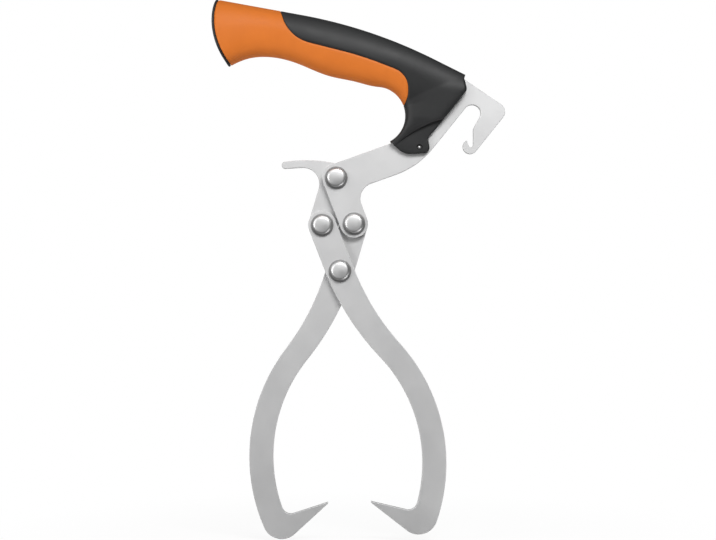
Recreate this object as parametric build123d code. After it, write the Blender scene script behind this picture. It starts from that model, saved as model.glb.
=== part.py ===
from build123d import *
import os
from math import asin, atan2, cos, pi, radians, sin, sqrt, tan

# Hand-held log tongs: a saw-type handle on a steel plate, a four-bar scissor link and two hooked jaws.
# Millimetres. X runs along the handle to its hook, Y away from the front, Z up.
# The origin is the middle of the hand on the grip, in the mid-plane of the handle plate.
# Angles are in degrees.

# Scissor linkage: four equal links, measured from pivot to pivot
link_length = 32.0
link_width = 18.2
edge_gap = 1.4            # between the handle plate and the right jaw when closed
stop_clearance = 0.3      # between the trigger link and the left jaw when closed
axis_lean = 2.33          # of the closed tongs off the vertical
pivot_across = 11.83      # top pivot, from the middle of the hand
pivot_drop = 85.74

# Plates, in two layers
plate_thickness = 4.0
layer_gap = 0.2
edge_break = 0.35
round_flat = 0.05         # straight left at the end of a full round

# Rivets and their washers
shank_diameter = 8.0
pivot_clearance = 0.06
flange_diameter = 14.7
flange_height = 0.9
cone_height = 0.7
dome_diameter = 12.4
dome_height = 2.3
dome_round = 1.7          # radius of the dome's edge
washer_diameter = 15.0
washer_thickness = 1.2
washer_play = 0.1
tail_diameter = 11.6
tail_edge = 0.6
tail_flat = 7.4           # diameter of the flat that the peening leaves
tail_height = 1.8

# Jaws, measured from the bottom pivot: outwards, and down the axis of the tongs
jaw_width = 15.6
belly_out = 64.1
belly_drop = 123.0
belly_radius = 115.8
outer_bend_radius = 158.0
inner_bend_radius = 175.0
heel_radius = 12.5
heel_turn = 21.3          # round the belly, where the heel begins
tip_gap = 28.0
tip_drop = 150.2
tip_flat = 0.9
tip_rise = 15.6
crotch_radius = 6.0

# Trigger horn, measured from the top pivot
horn_reach = 35.5
horn_thickness = 4.4
horn_crest = 11.7
horn_lift = 14.0
horn_droop = 7.0
horn_crown_radius = 85.0
horn_fillet = 10.6
horn_tip_radius = 2.0

# Arm and hook of the handle plate
arm_rise = 19.6
arm_width = 20.2
arm_fillet = 10.3
arm_turn_radius = 55.0
hook_foot_x = 78.0        # foot of the straight edge that leads to the notch
hook_foot_z = -62.6
hook_rise = 51.2
notch_radius = 5.5
notch_along = 28.4        # from that foot to the middle of the notch
notch_flare = 8.6
notch_wall = 13.3
hook_top = 15.5           # from the middle of the notch to the plate's top edge
hook_tilt = 4.7
hook_width = 22.9
hook_corner_radius = 6.0
hook_end_drop = 22.4
barb_drop = 15.4
barb_in = 13.2            # from that edge to the barb
barb_radius = 0.8
pocket_lean = 38.8
pocket_taper = 18.2
pocket_radius = 1.5

# Tang of the handle plate, inside the handle
tang_height = 13.0
tang_middle = 0.7
tang_slope = 14.4
tang_back = -8.0
tang_neck = 64.0
tang_corner_radius = 4.0
nose_cover = 11.9         # of the plate by the nose, from that edge
key_hole_diameter = 7.0
key_hole_spacing = 26.0
key_hole_count = 2

# Top edge of the handle: two straight runs and a blend between them
top_height = 18.1         # of the rear run, over the middle of the hand
rear_slope = 10.3
front_slope = 26.5
top_blend_radius = 320.0
nose_x = 95.4
nose_z = -18.6

# Grip: place along X, underside and half thickness of each section
pommel_x = -75.0
pommel_under = -25.0
pommel_half = 17.0
lip_x = -58.0
lip_under = -13.3
lip_half = 15.4
flare_x = -47.5
flare_under = -8.5
flare_half = 14.0
waist_x = -34.5
waist_under = -6.8
waist_half = 13.2
palm_x = -14.0
palm_under = -10.9
palm_half = 13.8
swell_x = 6.0
swell_under = -18.9
swell_half = 14.2
front_x = 24.0
front_under = -22.9
front_half = 13.6
grip_power = 2.5          # of the rounded section, where 2 is an ellipse
quarter_points = 6        # steps along a quarter of a section
inner_points = 3          # the same on the plain faces inside the handle
top_steps = 7             # between sections round the loop, under the top edge
side_steps = 4            # between sections round the loop, along the neck's front edge
side_start = 0.85         # of that edge's length

# Finger loop and neck
loop_x = 37.6
loop_z = -45.3
loop_radius = 19.1
loop_half = 13.0
neck_half = 9.5
neck_power = 4.0
crown_power = 2.7         # towards the neck's top edge
neck_edge_x = 73.0        # foot of the neck's straight front edge
neck_edge_z = -58.1
neck_edge_rise = 50.8
neck_excess = 3.0         # trimmed off the neck's front edge
nose_excess = 8.0         # trimmed off the nose

# Front of the nose: a lip at the top, a hollow under it and a bulge
lip_reach = 0.4           # ahead of the end of the top edge
hollow_drop = 2.9
hollow_depth = 0.6
bulge_drop = 8.3
bulge_reach = 0.8

# Collar under the neck
collar_half = 5.4
collar_tip_x = 47.3
collar_tip_z = -62.6
collar_tip_radius = 1.2
collar_belly_x = 55.6
collar_belly_z = -70.7
collar_belly_radius = 13.0
collar_lobe_x = 73.2
collar_lobe_z = -69.6
collar_lobe_radius = 4.0
collar_notch_x = 71.3
collar_notch_z = -60.2
collar_notch_radius = 3.0
collar_edge_radius = 1.0
collar_inset = 1.4        # of the collar's loop side from the neck's
collar_side_angles = (12, 36)   # round the finger loop, of the collar's hidden corners
crease_rise = 13.0        # up the neck's front edge from its foot
crease_end = 3.5          # along the collar's lower edge from its tip
crease_radius = 85.0

# Collar pin
pin_diameter = 2.4
pin_recess_diameter = 4.0
pin_recess = 0.7
pin_x = 65.8
pin_z = -66.1

# Grip sleeve
sleeve_thickness = 2.4
sleeve_start_x = -24.4
sleeve_start_z = 22.8
sleeve_start_slope = 71.0
sleeve_start_radius = 24.0
sleeve_line_x = 12.2      # a point of its upper edge over the palm
sleeve_line_z = -3.8
sleeve_line_slope = 14.2
sleeve_blend_radius = 200.0
sleeve_fall_x = 50.7      # a point of its upper edge at the neck
sleeve_fall_z = -16.3
sleeve_fall_slope = 20.6
sleeve_front_x = 58.2
sleeve_front_radius = 13.0
sleeve_turn_z = -33.0
sleeve_end_x = 54.0
sleeve_end_z = -42.5

# Pommel cap
butt_x = -68.1
butt_z = 16.0
butt_radius = 47.5
cap_thickness = 1.6
plug_depth = 11.0
plug_margin = 6.5

# Depths of the two layers and of what holds them together
front_face = -plate_thickness / 2
front_back = plate_thickness / 2
back_front = front_back + layer_gap
back_face = back_front + plate_thickness
washer_front = back_face + washer_play
washer_back = washer_front + washer_thickness

half_link = link_width / 2
closed_angle = asin((link_width + edge_gap) / link_length)
lean = radians(axis_lean)
outside = 2 * nose_x      # well outside the handle, for trimming


def along(angle):
    """Step of one at an angle from +X up towards +Z."""
    return Vector(cos(angle), sin(angle))


def down(angle):
    """Step of one at an angle off straight down, towards +X."""
    return Vector(sin(angle), -cos(angle))


def right_of(step):
    """Step of one to the right of another."""
    return Vector(step.Y, -step.X)


top_pivot = Vector(pivot_across, -pivot_drop)
right_pivot = top_pivot + down(lean + closed_angle / 2) * link_length
left_pivot = top_pivot + down(lean - closed_angle / 2) * link_length
bottom_pivot = right_pivot + left_pivot - top_pivot
hook_foot = Vector(hook_foot_x, hook_foot_z)
hook_up = along(radians(hook_rise))
hook_out = right_of(hook_up)
neck_foot = Vector(neck_edge_x, neck_edge_z)
neck_up = along(radians(neck_edge_rise))
neck_out = right_of(neck_up)
loop_middle = Vector(loop_x, loop_z)
collar_tip = Vector(collar_tip_x, collar_tip_z)
collar_belly = Vector(collar_belly_x, collar_belly_z)
crease_start = neck_foot + neck_up * crease_rise


def meet(point_a, step_a, point_b, step_b):
    """Where two lines cross, each a point and a step."""
    gap = point_b - point_a
    turn = step_a.X * step_b.Y - step_a.Y * step_b.X
    return point_a + step_a * ((gap.X * step_b.Y - gap.Y * step_b.X) / turn)


def rounded(corners):
    """Closed outline through corners, each a point and its radius."""
    points = [point for point, radius in corners]
    radii = [radius for point, radius in corners]
    return FilletPolyline(*points, radius=radii, close=True)


def slab(outline, y_front, y_back):
    """Solid between two depths from an outline in the X-Z plane."""
    face = Plane.XZ.offset(-y_back) * Face(Wire(outline.edges()))
    return extrude(face, y_back - y_front, dir=(0, -1, 0))


def through(outline):
    """Solid from an outline, deeper than the whole handle."""
    return slab(outline, -outside, outside)


def rod(place, diameter, y_front, y_back):
    """Cylinder along Y at a place in the X-Z plane."""
    middle = Vector(place.X, (y_front + y_back) / 2, place.Y)
    return Pos(middle) * Rot(90, 0, 0) * Cylinder(diameter / 2, y_back - y_front)


def steel_plate(outline, y_front, pivots):
    """Plate with broken edges and a bore at each pivot."""
    y_back = y_front + plate_thickness
    plate = slab(outline, y_front, y_back)
    rims = plate.faces().filter_by(Axis.Y).edges()
    plate = chamfer(rims, edge_break)
    for pivot in pivots:
        plate -= rod(pivot, shank_diameter + 2 * pivot_clearance, y_front, y_back)
    return plate


def handle_plate_outline():
    link = down(lean + closed_angle / 2)
    link_right = right_of(link) * -half_link
    arm = along(radians(arm_rise))
    arm_low = top_pivot + right_of(arm) * (arm_width - half_link)
    arm_high = top_pivot - right_of(arm) * half_link
    notch = hook_foot + hook_up * notch_along + hook_out * notch_radius

    def at(up, out):
        return notch + hook_up * up + hook_out * out

    # Notch: round at the top, its outer wall flaring down to the pocket
    flare = radians(notch_flare)
    turn = (pi - flare) / 2
    spread = notch_radius / cos(turn / 2)
    notch_inner = at(notch_radius * tan(turn / 2), -notch_radius)
    notch_outer = at(spread * sin(1.5 * turn), -spread * cos(1.5 * turn))
    wall = notch_outer + (hook_out * sin(flare) - hook_up * cos(flare)) * notch_wall

    # Pocket between the wall and the barb
    barb = at(-barb_drop, barb_in - notch_radius)
    wall_angle = radians(pocket_lean)
    barb_angle = radians(pocket_lean + pocket_taper)
    wall_step = hook_out * sin(wall_angle) - hook_up * cos(wall_angle)
    barb_step = hook_out * sin(barb_angle) - hook_up * cos(barb_angle)
    pocket = meet(wall, wall_step, barb, barb_step)

    # Outside of the hook
    hook_side = hook_width - notch_radius
    end_radius = (hook_width - barb_in) / 2 - round_flat
    tilt = tan(radians(hook_tilt))
    nose_in = -notch_radius - nose_cover

    # Tang in the grip
    tang_step = along(-radians(tang_slope))
    tang_rise = Vector(0, tang_height / cos(radians(tang_slope)) / 2)
    tang_high = Vector(0, tang_middle) + tang_rise
    tang_low = Vector(0, tang_middle) - tang_rise
    upright = Vector(0, 1)
    neck_side = Vector(tang_neck, 0)
    back_side = Vector(tang_back, 0)

    return rounded([
        (meet(top_pivot - link_right, link, arm_high, arm), half_link),
        (meet(arm_high, arm, neck_side, upright), tang_corner_radius),
        (meet(tang_low, tang_step, neck_side, upright), tang_corner_radius),
        (meet(tang_low, tang_step, back_side, upright), tang_corner_radius),
        (meet(tang_high, tang_step, back_side, upright), tang_corner_radius),
        (meet(tang_high, tang_step, neck_side, upright), tang_corner_radius),
        (at(hook_top + nose_in * tilt, nose_in), tang_corner_radius),
        (at(hook_top + hook_side * tilt, hook_side), hook_corner_radius),
        (at(-hook_end_drop, hook_side), end_radius),
        (at(-hook_end_drop, barb_in - notch_radius), end_radius),
        (barb, barb_radius),
        (pocket, pocket_radius),
        (wall, notch_radius),
        (notch_outer, notch_radius - round_flat),
        (notch_inner, notch_radius - round_flat),
        (meet(hook_foot, hook_up, arm_low, arm), arm_turn_radius),
        (meet(arm_low, arm, top_pivot + link_right, link), arm_fillet),
        (right_pivot + link * half_link + link_right, half_link - round_flat),
        (right_pivot + link * half_link - link_right, half_link - round_flat),
    ])


def handle_plate():
    plate = steel_plate(handle_plate_outline(), front_face, [top_pivot, right_pivot])
    tang_step = along(-radians(tang_slope))
    first = Vector(0, tang_middle) + tang_step * (tang_back + tang_height / 2)
    for count in range(key_hole_count):
        place = first + tang_step * key_hole_spacing * count
        plate -= rod(place, key_hole_diameter, front_face, front_back)
    return plate - rod(Vector(pin_x, pin_z), pin_diameter, front_face, front_back)


def trigger_link_outline():
    link = down(lean - closed_angle / 2)
    link_right = -right_of(link)
    inner = link_length * sin(closed_angle) - half_link - stop_clearance
    inner_edge = top_pivot + link_right * inner
    outer_edge = top_pivot - link_right * half_link
    end = left_pivot + link * half_link

    # Horn: a crowned finger that leaves the round of the top pivot
    lift = radians(horn_lift)
    droop = radians(horn_droop)
    rise_start = top_pivot + Vector(sin(lift), cos(lift)) * half_link
    rise = Vector(-cos(lift), sin(lift))
    crown_x = (half_link - horn_crown_radius - (horn_crest - horn_crown_radius) * cos(lift)) / sin(lift)
    crown = top_pivot + Vector(crown_x, horn_crest - horn_crown_radius)
    fall_start = crown + Vector(-sin(droop), cos(droop)) * horn_crown_radius
    fall = Vector(-cos(droop), -sin(droop))
    tip = top_pivot - Vector(horn_reach, 0)
    tip_top = meet(fall_start, fall, tip, Vector(0, 1))
    tip_low = tip_top - Vector(0, horn_thickness)
    underside = along(droop / 2)

    return rounded([
        (meet(rise_start, rise, inner_edge, link), half_link),
        (meet(inner_edge, link, end, link_right), half_link),
        (meet(outer_edge, link, end, link_right), half_link),
        (meet(outer_edge, link, tip_low, underside), horn_fillet),
        (tip_low, horn_tip_radius),
        (tip_top, horn_tip_radius),
        (meet(rise_start, rise, fall_start, fall), horn_crown_radius),
    ])


def trigger_link():
    return steel_plate(trigger_link_outline(), back_front, [top_pivot, left_pivot])


def jaw_outline(side):
    """Outline of one jaw; side is 1 for the right jaw and -1 for the left one."""
    half_angle = closed_angle / 2
    step = Vector(sin(half_angle), cos(half_angle))
    outward = Vector(cos(half_angle), -sin(half_angle))
    top = step * -link_length
    belly = Vector(belly_out - belly_radius, belly_drop)
    inner_radius = belly_radius - jaw_width

    def place(point):
        return bottom_pivot + down(lean) * point.Y + along(lean) * (side * point.X)

    def line(start, end):
        return Line(place(start), place(end))

    def arc(middle, start, end):
        """Arc of under a half circle about a middle."""
        crown = middle + (start + end - middle * 2).normalized() * (start - middle).length
        return ThreePointArc(place(start), place(crown), place(end))

    def bend(offset, radius, meets):
        """Arc from the straight edge to the belly: its middle and its two ends."""
        across = offset + radius
        reach = sqrt((radius + meets) ** 2 - (across - belly.dot(outward)) ** 2)
        start = outward * offset + step * (belly.dot(step) - reach)
        middle = start + outward * radius
        return middle, start, middle + (belly - middle).normalized() * radius

    outer_middle, outer_start, outer_end = bend(half_link, outer_bend_radius, belly_radius)
    inner_middle, inner_start, inner_end = bend(-half_link, inner_bend_radius, inner_radius)

    # Heel, and the lower edge of the tip that runs off it
    heel_step = along(radians(heel_turn))
    heel = belly + heel_step * (belly_radius - heel_radius)
    heel_start = belly + heel_step * belly_radius
    tip = Vector(tip_gap / 2, tip_drop)
    tip_low = tip + Vector(0, tip_flat)
    to_heel = heel - tip_low
    lower_angle = atan2(to_heel.Y, to_heel.X) + asin(heel_radius / to_heel.length)
    heel_end = tip_low + along(lower_angle) * sqrt(to_heel.length ** 2 - heel_radius ** 2)

    # Upper edge of the tip, and the fillet where it meets the belly
    upper = along(radians(tip_rise))
    crotch_line = tip + right_of(upper) * crotch_radius - belly
    on_line = crotch_line.dot(upper)
    reach = (inner_radius - crotch_radius) ** 2 - crotch_line.length ** 2
    crotch = belly + crotch_line + upper * (sqrt(on_line ** 2 + reach) - on_line)
    crotch_start = crotch - right_of(upper) * crotch_radius
    crotch_end = belly + (crotch - belly).normalized() * inner_radius

    round_end = ThreePointArc(
        place(top - outward * half_link), place(top - step * half_link), place(top + outward * half_link))
    return Wire([
        line(top + outward * half_link, outer_start),
        arc(outer_middle, outer_start, outer_end),
        arc(belly, outer_end, heel_start),
        arc(heel, heel_start, heel_end),
        line(heel_end, tip_low),
        line(tip_low, tip),
        line(tip, crotch_start),
        arc(crotch, crotch_start, crotch_end),
        arc(belly, crotch_end, inner_end),
        arc(inner_middle, inner_end, inner_start),
        line(inner_start, top - outward * half_link),
        round_end,
    ])


def right_jaw():
    return steel_plate(jaw_outline(1), front_face, [left_pivot, bottom_pivot])


def left_jaw():
    return steel_plate(jaw_outline(-1), back_front, [right_pivot, bottom_pivot])


def rivet(pivot):
    """Domed rivet with a flange under its dome and a peened tail."""
    flange = flange_diameter / 2
    shank = shank_diameter / 2
    dome = dome_diameter / 2
    tail = tail_diameter / 2
    flange_top = front_face - flange_height
    dome_base = flange_top - cone_height
    head_top = dome_base - dome_height
    tail_top = washer_back + tail_height

    # Dome: a shallow crown from the axis to a knee, then a round edge down to the rim
    rim = dome - dome_round
    crown_radius = (rim ** 2 + dome_height ** 2 - dome_round ** 2) / (2 * (dome_height - dome_round))
    lean = asin(rim / (crown_radius - dome_round))
    knee = Vector(crown_radius * sin(lean), head_top + crown_radius * (1 - cos(lean)))
    crown = TangentArc(Vector(0, head_top), knee, tangent=(1, 0))
    edge = TangentArc(knee, Vector(dome, dome_base), tangent=crown % 1)

    side = Polyline(
        Vector(dome, dome_base), Vector(flange, flange_top), Vector(flange, front_face),
        Vector(shank, front_face), Vector(shank, washer_back), Vector(tail, washer_back),
        Vector(tail, washer_back + tail_edge), Vector(tail_flat / 2, tail_top),
        Vector(0, tail_top), Vector(0, head_top))
    profile = Face(Wire([crown, edge, *side.edges()]))
    return Pos(pivot.X, 0, pivot.Y) * revolve(profile, Axis.Y)


def rivet_washer(pivot):
    ring = rod(pivot, washer_diameter, washer_front, washer_back)
    return ring - rod(pivot, shank_diameter + 2 * pivot_clearance, washer_front, washer_back)


def top_edge(x):
    """Height of the handle's top edge."""
    rear = tan(radians(rear_slope))
    front = tan(radians(front_slope))
    corner_x = (nose_z + nose_x * front - top_height) / (front - rear)
    corner_z = top_height - corner_x * rear
    half_turn = radians(front_slope - rear_slope) / 2
    tangent = top_blend_radius * tan(half_turn)
    blend_start = corner_x - tangent * cos(radians(rear_slope))
    blend_end = corner_x + tangent * cos(radians(front_slope))
    if x <= blend_start:
        return top_height - x * rear
    if x >= blend_end:
        return corner_z - (x - corner_x) * front
    middle_x = blend_start - top_blend_radius * sin(radians(rear_slope))
    middle_z = corner_z + tangent * sin(radians(rear_slope)) - top_blend_radius * cos(radians(rear_slope))
    return middle_z + sqrt(top_blend_radius ** 2 - (x - middle_x) ** 2)


def handle_section(inner, outer, half, inner_power, outer_power, inset):
    """Rounded section between two points of the X-Z plane.

    An inset draws it in and leaves it plain, with straight sides.
    """
    middle = Vector(inner.X + outer.X, 0, inner.Y + outer.Y) * 0.5
    step = (outer - inner).normalized()
    reach = Vector(step.X, 0, step.Y) * ((outer - inner).length / 2 - inset)
    depth = Vector(0, half - inset, 0)
    spokes = [reach, depth, -reach, -depth]
    powers = [outer_power, inner_power, inner_power, outer_power]
    steps = inner_points if inset else quarter_points

    # One quarter of the section after another, each between two of its spokes
    quarters = []
    for first, last, power in zip(spokes, spokes[1:] + spokes[:1], powers):
        points = [middle + first]
        for part in range(1, steps):
            turn = pi / 2 * part / steps
            points.append(middle + first * cos(turn) ** (2 / power) + last * sin(turn) ** (2 / power))
        points.append(middle + last)
        if inset:
            quarters += Polyline(*points).edges()
        else:
            quarters.append(Spline(*points, tangents=[last, -first]))
    return Face(Wire(quarters))


def handle_skin(inset):
    """Grip, finger loop and neck as one smooth form, drawn in by an inset."""
    grip = [
        (pommel_x, pommel_under, pommel_half),
        (lip_x, lip_under, lip_half),
        (flare_x, flare_under, flare_half),
        (waist_x, waist_under, waist_half),
        (palm_x, palm_under, palm_half),
        (swell_x, swell_under, swell_half),
        (front_x, front_under, front_half),
    ]
    sections = []
    for x, under, half in grip:
        sections.append(handle_section(
            Vector(x, under), Vector(x, top_edge(x)), half, grip_power, grip_power, inset))

    # Sections that fan round the finger loop, by the outer end of each
    side = neck_foot + neck_out * neck_excess
    side_length = (nose_x - neck_edge_x) / neck_up.X
    fan = []
    for count in range(top_steps + 1):
        x = loop_x + (nose_x + nose_excess - loop_x) * count / top_steps
        fan.append(Vector(x, top_edge(x)))
    for count in range(side_steps + 1):
        fan.append(side + neck_up * side_length * (side_start - count / side_steps))
    fan.append(Vector(collar_belly_x, collar_belly_z - nose_excess))
    fan.append(Vector(collar_tip_x - nose_excess, collar_belly_z - nose_excess))
    for count, outer in enumerate(fan):
        blend = min(1, count / (top_steps - 1))
        half = loop_half + (neck_half - loop_half) * blend
        inner_power = grip_power + (neck_power - grip_power) * blend
        outer_power = neck_power
        if count <= top_steps:
            outer_power = grip_power + (crown_power - grip_power) * blend
        inner = loop_middle + (outer - loop_middle).normalized() * loop_radius
        sections.append(handle_section(inner, outer, half, inner_power, outer_power, inset))
    return loft(sections, ruled=inset > 0)


def collar():
    """Flat collar that closes the handle on the plate's arm."""
    side = loop_radius + collar_inset
    loop_side = [loop_middle + along(-radians(angle)) * side for angle in collar_side_angles]
    outline = rounded([
        (collar_tip, collar_tip_radius),
        (loop_side[1], 0),
        (loop_side[0], 0),
        (crease_start, 0),
        (Vector(collar_notch_x, collar_notch_z), collar_notch_radius),
        (Vector(collar_lobe_x, collar_lobe_z), collar_lobe_radius),
        (collar_belly, collar_belly_radius),
    ])
    block = slab(outline, -collar_half, collar_half)
    return fillet(block.faces().filter_by(Axis.Y).edges(), collar_edge_radius)


def neck_region():
    """Outline of all that is kept of the handle's smooth form, down to the crease over the collar."""
    crease_stop = collar_tip + (collar_belly - collar_tip).normalized() * crease_end
    crease = RadiusArc(crease_start, crease_stop, -crease_radius)
    lip = Vector(nose_x + lip_reach, nose_z)
    hollow = Vector(nose_x - hollow_depth, nose_z - hollow_drop)
    bulge = Vector(nose_x + bulge_reach, nose_z - bulge_drop)
    nose_low = meet(neck_foot, neck_up, bulge, Vector(0, 1))
    sides = Polyline(
        crease_stop, collar_tip, loop_middle, Vector(-outside, loop_z), Vector(-outside, outside),
        Vector(lip.X, outside), lip, hollow, bulge, nose_low, crease_start)
    return Wire([crease, *sides.edges()])


def sleeve_region():
    """Outline of the side that the soft sleeve covers."""
    start = Vector(sleeve_start_x, sleeve_start_z)
    start_step = along(-radians(sleeve_start_slope))
    line = Vector(sleeve_line_x, sleeve_line_z)
    line_step = along(-radians(sleeve_line_slope))
    fall = Vector(sleeve_fall_x, sleeve_fall_z)
    fall_step = along(-radians(sleeve_fall_slope))
    front = Vector(sleeve_front_x, sleeve_turn_z)
    return rounded([
        (start - start_step * outside, 0),
        (meet(start, start_step, line, line_step), sleeve_start_radius),
        (meet(line, line_step, fall, fall_step), sleeve_blend_radius),
        (meet(front, Vector(0, 1), fall, fall_step), sleeve_front_radius),
        (front, sleeve_front_radius),
        (Vector(sleeve_end_x, sleeve_end_z), 0),
        (Vector(-outside, sleeve_end_z), 0),
        (Vector(-outside, outside), 0),
    ])


def butt_drum(radius):
    """Drum along Y whose side rounds the butt of the handle."""
    return rod(Vector(butt_x + butt_radius, butt_z), 2 * radius, -outside, outside)


def rear_block(reach):
    """Block round the butt, up to a reach from its end."""
    return Pos(butt_x + reach - outside / 2, 0, 0) * Box(outside, outside, outside)


def handle_parts(plate):
    """Hard core, soft sleeve and pommel cap, fitted round the plate and each other."""
    form = handle_skin(0) & through(neck_region())
    rear = rear_block(butt_radius / 2)
    form -= rear - butt_drum(butt_radius)
    seat = butt_drum(butt_radius - cap_thickness)
    plug = handle_skin(plug_margin) & seat & rear_block(plug_depth)
    cap = (form & rear) - seat + plug
    sleeve = (form & through(sleeve_region())) - handle_skin(sleeve_thickness) - cap
    pin_place = Vector(pin_x, pin_z)
    core = form + collar() - sleeve - cap - plate
    core -= rod(pin_place, pin_diameter, -collar_half, collar_half)
    for side in (-1, 1):
        ends = sorted((side * collar_half, side * (collar_half - pin_recess)))
        core -= rod(pin_place, pin_recess_diameter, *ends)
    pin_end = collar_half - pin_recess
    pin = rod(pin_place, pin_diameter, -pin_end, pin_end)
    return {"handle_core": core, "grip_sleeve": sleeve, "pommel_cap": cap, "collar_pin": pin}


def main():
    plate = handle_plate()
    nodes = {
        "handle_plate": plate,
        "trigger_link": trigger_link(),
        "right_jaw": right_jaw(),
        "left_jaw": left_jaw(),
    }
    pivots = {"top": top_pivot, "left": left_pivot, "right": right_pivot, "bottom": bottom_pivot}
    for name, pivot in pivots.items():
        nodes[f"{name}_rivet"] = rivet(pivot)
        nodes[f"{name}_washer"] = rivet_washer(pivot)
    nodes.update(handle_parts(plate))
    os.makedirs("parts", exist_ok=True)
    for name, solid in nodes.items():
        export_step(solid, f"parts/{name}.step")


if __name__ == "__main__":
    main()
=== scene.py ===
from math import asin, atan2, cos, pi, radians, sin, sqrt, tan

import bmesh
import bpy
import numpy
from mathutils import Matrix, Vector
from mathutils.geometry import interpolate_bezier


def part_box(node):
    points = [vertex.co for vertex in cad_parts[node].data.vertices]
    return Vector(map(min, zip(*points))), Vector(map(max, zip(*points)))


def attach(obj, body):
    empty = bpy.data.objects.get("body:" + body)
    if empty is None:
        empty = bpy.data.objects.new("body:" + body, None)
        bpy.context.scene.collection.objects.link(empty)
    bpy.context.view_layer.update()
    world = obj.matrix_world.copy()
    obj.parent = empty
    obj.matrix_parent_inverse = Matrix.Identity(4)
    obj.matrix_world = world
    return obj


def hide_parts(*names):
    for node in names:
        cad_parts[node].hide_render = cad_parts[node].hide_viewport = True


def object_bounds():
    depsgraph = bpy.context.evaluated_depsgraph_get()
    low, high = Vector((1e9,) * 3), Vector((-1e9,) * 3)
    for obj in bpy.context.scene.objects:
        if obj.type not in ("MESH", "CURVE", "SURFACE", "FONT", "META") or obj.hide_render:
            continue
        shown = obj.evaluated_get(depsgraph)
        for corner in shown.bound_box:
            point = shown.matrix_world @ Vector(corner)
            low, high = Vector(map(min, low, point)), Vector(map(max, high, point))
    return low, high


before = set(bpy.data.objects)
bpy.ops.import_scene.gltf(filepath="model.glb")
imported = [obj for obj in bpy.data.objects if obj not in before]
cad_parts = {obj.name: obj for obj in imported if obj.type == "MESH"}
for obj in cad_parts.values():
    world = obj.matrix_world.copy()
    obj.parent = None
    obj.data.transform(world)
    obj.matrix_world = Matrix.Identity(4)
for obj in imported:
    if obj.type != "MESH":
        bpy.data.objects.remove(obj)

# Hand-held log tongs: moulded handle with a soft grip, steel linkage plates, domed rivets.
# Sizes are in millimetres and angles in degrees; MM turns a size into Blender's metres.
# X runs along the handle to its hook, Y away from the front, Z up. Points of the side view are X and Z.
MM = 0.001
cad_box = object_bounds()

# Photograph: its width in pixels and its scale, the point in its middle, and the camera
image_width = 716
mm_per_pixel = 0.65
view_centre_x = 26.0
view_centre_z = -145.6
view_distance = 1200.0
sensor_width = 36.0

# Studio, in metres: lamps by name, angle round and above the view axis, width, height and watts
lamp_distance = 1.6
lamps = (
    ("key", 20.0, 40.0, 0.9, 0.5, 17.0),
    ("left_box", -56.0, 14.0, 0.6, 0.8, 4.5),
    ("low_front", -46.0, -1.5, 0.6, 0.2, 4.4),
    ("back_box", 178.0, 5.0, 2.4, 0.45, 10.0),
)
ambient_level = 0.46      # of the backdrop's light on matt pieces

# What shiny pieces reflect, in metres: the floor close by, the grey horizon, and a white top
near_floor_level = 0.06
horizon_level = 0.16
top_level = 1.0
horizon_reach = 0.5       # along the floor from the object to the horizon's grey
top_share = 0.8           # of the way up, where the top's white is reached
top_lean = 25.0           # of that way, to the left of straight up
card_x = 0.23             # middle of a white card on the floor, which only reflections show
card_y = -0.03
card_fade_start = 0.09    # from its middle, out to which it is white
card_fade_end = 0.15      # the same, where it has faded out
card_level = 2.0
back_start = -0.35        # share of straight back, where the studio starts to fall off
back_full = 0.5           # the same, where it has fallen off
back_share = 0.1          # of its level that is left behind

# Floor: white, apart from some of its own shade near the object
floor_gap = 1.5           # from the tips of the jaws down to the floor
floor_half = 6.0          # half its side, in metres
floor_colour = (0.9, 0.9, 0.9)
floor_roughness = 0.9
shadow_near = 0.10        # from the object in metres, out to which the shade shows
shadow_far = 0.30         # the same, where none is left
shadow_share = 0.12       # of the shade that shows

# Top edge of the handle: two straight runs and a blend between them
top_height = 18.1
rear_slope = 10.3
front_slope = 26.5
top_blend_radius = 320.0
nose_x = 95.4
nose_z = -18.6

# Front of the nose: a small lip at the top, a hollow under it and a round lower corner
lip_x = 95.8
nose_hollow = Vector((94.8, -21.5))
bulge_x = 96.2
bulge_z = -26.9
hollow_radius = 1.6
nose_corner_radius = 3.0

# Grip sections: place along X, height of the underside, half thickness
grip_sections = (
    (-75.0, -25.0, 17.0),
    (-58.0, -13.3, 15.4),
    (-47.5, -8.5, 14.0),
    (-34.5, -6.8, 13.2),
    (-14.0, -10.9, 13.8),
    (6.0, -18.9, 14.2),
    (24.0, -22.9, 13.6),
)
grip_power = 3.2          # of the rounded section, where 2 is an ellipse
crown_power = 2.1         # the same towards the top edge
grip_rear_x = -50.0       # where the sections stop following the round butt

# Finger loop and neck
loop_x = 37.6
loop_z = -45.3
loop_radius = 19.1
loop_half = 13.0
loop_join_x = 49.0        # where the underside has run out into the loop's circle
neck_half = 9.5
neck_power = 4.0
neck_foot = Vector((73.0, -58.1))  # of its straight front edge
neck_edge_rise = 50.8
neck_excess = 3.0         # of the rounded section beyond that edge
neck_edge_radius = 2.2
nose_edge_radius = 1.2
nose_blend = 40.0         # softness of the change from the crown to the neck at the nose
toe_half = 6.0            # half thickness of the neck where it runs out on the collar
crease_edge_radius = 3.2
crease_fade = 0.3         # edge radius where the crease runs out
crease_pace = 3           # the section's run past its edge settles this many times as fast as it thins

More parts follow.
